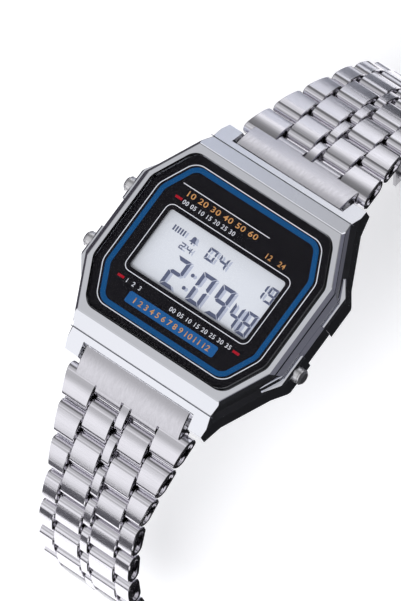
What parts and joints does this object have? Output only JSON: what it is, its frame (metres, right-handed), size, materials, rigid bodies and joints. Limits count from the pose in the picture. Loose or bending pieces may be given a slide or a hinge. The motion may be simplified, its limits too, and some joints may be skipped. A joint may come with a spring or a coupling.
{
  "type": "digital wristwatch",
  "caption": "Digital wristwatch with an octagonal polished bezel, flat crystal over a liquid crystal display, push buttons and a bracelet of folded links with a hook clasp.",
  "frame": {"origin": "centre of the case back's outer face, which lies on the wrist", "axes": "+X towards 3 o'clock, +Y towards 12 o'clock, +Z out of the dial"},
  "size_m": [0.0366, 0.0803, 0.0551],
  "materials": {
    "polished_case": "polished",
    "button_metal": "turned and polished",
    "back_steel": "brushed",
    "bracelet_steel": "brushed lengthwise",
    "clasp_steel": "brushed",
    "crystal_glass": "polished",
    "panel_print": "printed",
    "display_glass": "matt polariser",
    "white_plastic": "satin",
    "lamp_resin": "clear resin",
    "elastic": "matt",
    "seal_rubber": "matt",
    "board_laminate": "satin",
    "chip_resin": "poured resin",
    "frame_plastic": "moulded",
    "bright_metal": "bright",
    "contact_metal": "bright",
    "spring_steel": "bright wire"
  },
  "bodies": {
    "case": {"case_body": "polished_case", "bezel": "polished_case", "crystal": "crystal_glass", "crystal_gasket": "seal_rubber", "dial_panel": "panel_print", "lcd_glass": "display_glass", "lcd_reflector": "white_plastic", "backlight_led": "lamp_resin", "connector_strips": "elastic", "circuit_board": "board_laminate", "driver_chip": "chip_resin", "quartz_can": "bright_metal", "module_frame": "frame_plastic", "button_contacts": "contact_metal", "battery": "bright_metal", "battery_strap": "bright_metal", "buzzer_disc": "contact_metal", "case_back": "back_steel", "back_seal": "seal_rubber", "case_back_screws": "back_steel", "button_seals": "seal_rubber", "spring_bars": "back_steel", "spring_upper_left": "spring_steel", "spring_lower_left": "spring_steel", "spring_lower_right": "spring_steel"},
    "end_link_12": {"end_link_12": "bracelet_steel"},
    "link_row_12_01": {"link_row_12_01": "bracelet_steel"},
    "link_row_12_02": {"link_row_12_02": "bracelet_steel"},
    "link_row_12_03": {"link_row_12_03": "bracelet_steel"},
    "link_row_12_04": {"link_row_12_04": "bracelet_steel"},
    "link_row_12_05": {"link_row_12_05": "bracelet_steel"},
    "link_row_12_06": {"link_row_12_06": "bracelet_steel"},
    "link_row_12_07": {"link_row_12_07": "bracelet_steel"},
    "link_row_12_08": {"link_row_12_08": "bracelet_steel"},
    "link_row_12_09": {"link_row_12_09": "bracelet_steel"},
    "link_row_12_10": {"link_row_12_10": "bracelet_steel"},
    "link_row_12_11": {"link_row_12_11": "bracelet_steel"},
    "link_row_12_12": {"link_row_12_12": "bracelet_steel"},
    "link_row_12_13": {"link_row_12_13": "bracelet_steel"},
    "clasp_cover": {"clasp_cover": "clasp_steel"},
    "clasp_blade": {"clasp_blade": "clasp_steel"},
    "end_link_6": {"end_link_6": "bracelet_steel"},
    "link_row_6_01": {"link_row_6_01": "bracelet_steel"},
    "link_row_6_02": {"link_row_6_02": "bracelet_steel"},
    "link_row_6_03": {"link_row_6_03": "bracelet_steel"},
    "link_row_6_04": {"link_row_6_04": "bracelet_steel"},
    "link_row_6_05": {"link_row_6_05": "bracelet_steel"},
    "link_row_6_06": {"link_row_6_06": "bracelet_steel"},
    "link_row_6_07": {"link_row_6_07": "bracelet_steel"},
    "link_row_6_08": {"link_row_6_08": "bracelet_steel"},
    "link_row_6_09": {"link_row_6_09": "bracelet_steel"},
    "link_row_6_10": {"link_row_6_10": "bracelet_steel"},
    "link_row_6_11": {"link_row_6_11": "bracelet_steel"},
    "link_row_6_12": {"link_row_6_12": "bracelet_steel"},
    "link_row_6_13": {"link_row_6_13": "bracelet_steel"},
    "catch_link": {"catch_link": "clasp_steel"},
    "button_upper_left": {"button_upper_left": "button_metal"},
    "button_lower_left": {"button_lower_left": "button_metal"},
    "button_lower_right": {"button_lower_right": "button_metal"}
  },
  "joints": [
    {"name": "end_link_12_hinge", "type": "hinge", "parent": "case", "child": "end_link_12", "pos_m": [0, 0.01745, 0.0026], "axis": [1, 0, 0], "range_deg": [-6, 2]},
    {"name": "row_12_01_hinge", "type": "hinge", "parent": "end_link_12", "child": "link_row_12_01", "pos_m": [0, 0.02006, 0.00157], "axis": [1, 0, 0], "range_deg": [-9.6, 5.4]},
    {"name": "row_12_02_hinge", "type": "hinge", "parent": "link_row_12_01", "child": "link_row_12_02", "pos_m": [0, 0.02243, 0.00052], "axis": [1, 0, 0], "range_deg": [-9.1, 5.9]},
    {"name": "row_12_03_hinge", "type": "hinge", "parent": "link_row_12_02", "child": "link_row_12_03", "pos_m": [0, 0.02475, -0.00065], "axis": [1, 0, 0], "range_deg": [-8.6, 6.4]},
    {"name": "row_12_04_hinge", "type": "hinge", "parent": "link_row_12_03", "child": "link_row_12_04", "pos_m": [0, 0.027, -0.00196], "axis": [1, 0, 0], "range_deg": [-8.1, 6.9]},
    {"name": "row_12_05_hinge", "type": "hinge", "parent": "link_row_12_04", "child": "link_row_12_05", "pos_m": [0, 0.02915, -0.00342], "axis": [1, 0, 0], "range_deg": [-7.6, 7.4]},
    {"name": "row_12_06_hinge", "type": "hinge", "parent": "link_row_12_05", "child": "link_row_12_06", "pos_m": [0, 0.03119, -0.00504], "axis": [1, 0, 0], "range_deg": [-7.1, 7.9]},
    {"name": "row_12_07_hinge", "type": "hinge", "parent": "link_row_12_06", "child": "link_row_12_07", "pos_m": [0, 0.03308, -0.00682], "axis": [1, 0, 0], "range_deg": [-6.6, 8.4]},
    {"name": "row_12_08_hinge", "type": "hinge", "parent": "link_row_12_07", "child": "link_row_12_08", "pos_m": [0, 0.03479, -0.00878], "axis": [1, 0, 0], "range_deg": [-6.1, 8.9]},
    {"name": "row_12_09_hinge", "type": "hinge", "parent": "link_row_12_08", "child": "link_row_12_09", "pos_m": [0, 0.03629, -0.0109], "axis": [1, 0, 0], "range_deg": [-5.6, 9.4]},
    {"name": "row_12_10_hinge", "type": "hinge", "parent": "link_row_12_09", "child": "link_row_12_10", "pos_m": [0, 0.03755, -0.01318], "axis": [1, 0, 0], "range_deg": [-5.1, 9.9]},
    {"name": "row_12_11_hinge", "type": "hinge", "parent": "link_row_12_10", "child": "link_row_12_11", "pos_m": [0, 0.03852, -0.01559], "axis": [1, 0, 0], "range_deg": [-4.6, 10.4]},
    {"name": "row_12_12_hinge", "type": "hinge", "parent": "link_row_12_11", "child": "link_row_12_12", "pos_m": [0, 0.03918, -0.0181], "axis": [1, 0, 0], "range_deg": [-4.1, 10.9]},
    {"name": "row_12_13_hinge", "type": "hinge", "parent": "link_row_12_12", "child": "link_row_12_13", "pos_m": [0, 0.03948, -0.02069], "axis": [1, 0, 0], "range_deg": [-3.6, 11.4]},
    {"name": "clasp_cover_hinge", "type": "hinge", "parent": "link_row_12_13", "child": "clasp_cover", "pos_m": [0, 0.0394, -0.02328], "axis": [1, 0, 0], "range_deg": [-14, 20]},
    {"name": "clasp_blade_hinge", "type": "hinge", "parent": "clasp_cover", "child": "clasp_blade", "pos_m": [0, 0.03337, -0.04508], "axis": [1, 0, 0], "range_deg": [0, 160]},
    {"name": "end_link_6_hinge", "type": "hinge", "parent": "case", "child": "end_link_6", "pos_m": [0, -0.01745, 0.0026], "axis": [1, 0, 0], "range_deg": [-2, 6]},
    {"name": "row_6_01_hinge", "type": "hinge", "parent": "end_link_6", "child": "link_row_6_01", "pos_m": [0, -0.01987, 0.0012], "axis": [1, 0, 0], "range_deg": [-5, 10]},
    {"name": "row_6_02_hinge", "type": "hinge", "parent": "link_row_6_01", "child": "link_row_6_02", "pos_m": [0, -0.02208, -0.00018], "axis": [1, 0, 0], "range_deg": [-5.4, 9.6]},
    {"name": "row_6_03_hinge", "type": "hinge", "parent": "link_row_6_02", "child": "link_row_6_03", "pos_m": [0, -0.02423, -0.00165], "axis": [1, 0, 0], "range_deg": [-5.8, 9.2]},
    {"name": "row_6_04_hinge", "type": "hinge", "parent": "link_row_6_03", "child": "link_row_6_04", "pos_m": [0, -0.0263, -0.00322], "axis": [1, 0, 0], "range_deg": [-6.2, 8.8]},
    {"name": "row_6_05_hinge", "type": "hinge", "parent": "link_row_6_04", "child": "link_row_6_05", "pos_m": [0, -0.02828, -0.0049], "axis": [1, 0, 0], "range_deg": [-6.6, 8.4]},
    {"name": "row_6_06_hinge", "type": "hinge", "parent": "link_row_6_05", "child": "link_row_6_06", "pos_m": [0, -0.03015, -0.00671], "axis": [1, 0, 0], "range_deg": [-7, 8]},
    {"name": "row_6_07_hinge", "type": "hinge", "parent": "link_row_6_06", "child": "link_row_6_07", "pos_m": [0, -0.03189, -0.00864], "axis": [1, 0, 0], "range_deg": [-7.4, 7.6]},
    {"name": "row_6_08_hinge", "type": "hinge", "parent": "link_row_6_07", "child": "link_row_6_08", "pos_m": [0, -0.03347, -0.0107], "axis": [1, 0, 0], "range_deg": [-7.8, 7.2]},
    {"name": "row_6_09_hinge", "type": "hinge", "parent": "link_row_6_08", "child": "link_row_6_09", "pos_m": [0, -0.03488, -0.01289], "axis": [1, 0, 0], "range_deg": [-8.2, 6.8]},
    {"name": "row_6_10_hinge", "type": "hinge", "parent": "link_row_6_09", "child": "link_row_6_10", "pos_m": [0, -0.03609, -0.01519], "axis": [1, 0, 0], "range_deg": [-8.6, 6.4]},
    {"name": "row_6_11_hinge", "type": "hinge", "parent": "link_row_6_10", "child": "link_row_6_11", "pos_m": [0, -0.03706, -0.0176], "axis": [1, 0, 0], "range_deg": [-9, 6]},
    {"name": "row_6_12_hinge", "type": "hinge", "parent": "link_row_6_11", "child": "link_row_6_12", "pos_m": [0, -0.03778, -0.0201], "axis": [1, 0, 0], "range_deg": [-9.4, 5.6]},
    {"name": "row_6_13_hinge", "type": "hinge", "parent": "link_row_6_12", "child": "link_row_6_13", "pos_m": [0, -0.03821, -0.02267], "axis": [1, 0, 0], "range_deg": [-9.8, 5.2]},
    {"name": "catch_link_hinge", "type": "hinge", "parent": "link_row_6_13", "child": "catch_link", "pos_m": [0, -0.03834, -0.02526], "axis": [1, 0, 0], "range_deg": [-5, 14]},
    {"name": "button_upper_left_press", "type": "slide", "parent": "case", "child": "button_upper_left", "axis": [1, 0, 0], "range_m": [0, 0.0006], "stiffness_N_per_m": 1500, "springref_m": -0.0004, "deforming": ["spring_upper_left"]},
    {"name": "button_lower_left_press", "type": "slide", "parent": "case", "child": "button_lower_left", "axis": [1, 0, 0], "range_m": [0, 0.0006], "stiffness_N_per_m": 1500, "springref_m": -0.0004, "deforming": ["spring_lower_left"]},
    {"name": "button_lower_right_press", "type": "slide", "parent": "case", "child": "button_lower_right", "axis": [-1, 0, 0], "range_m": [0, 0.0006], "stiffness_N_per_m": 1500, "springref_m": -0.0004, "deforming": ["spring_lower_right"]}
  ]
}
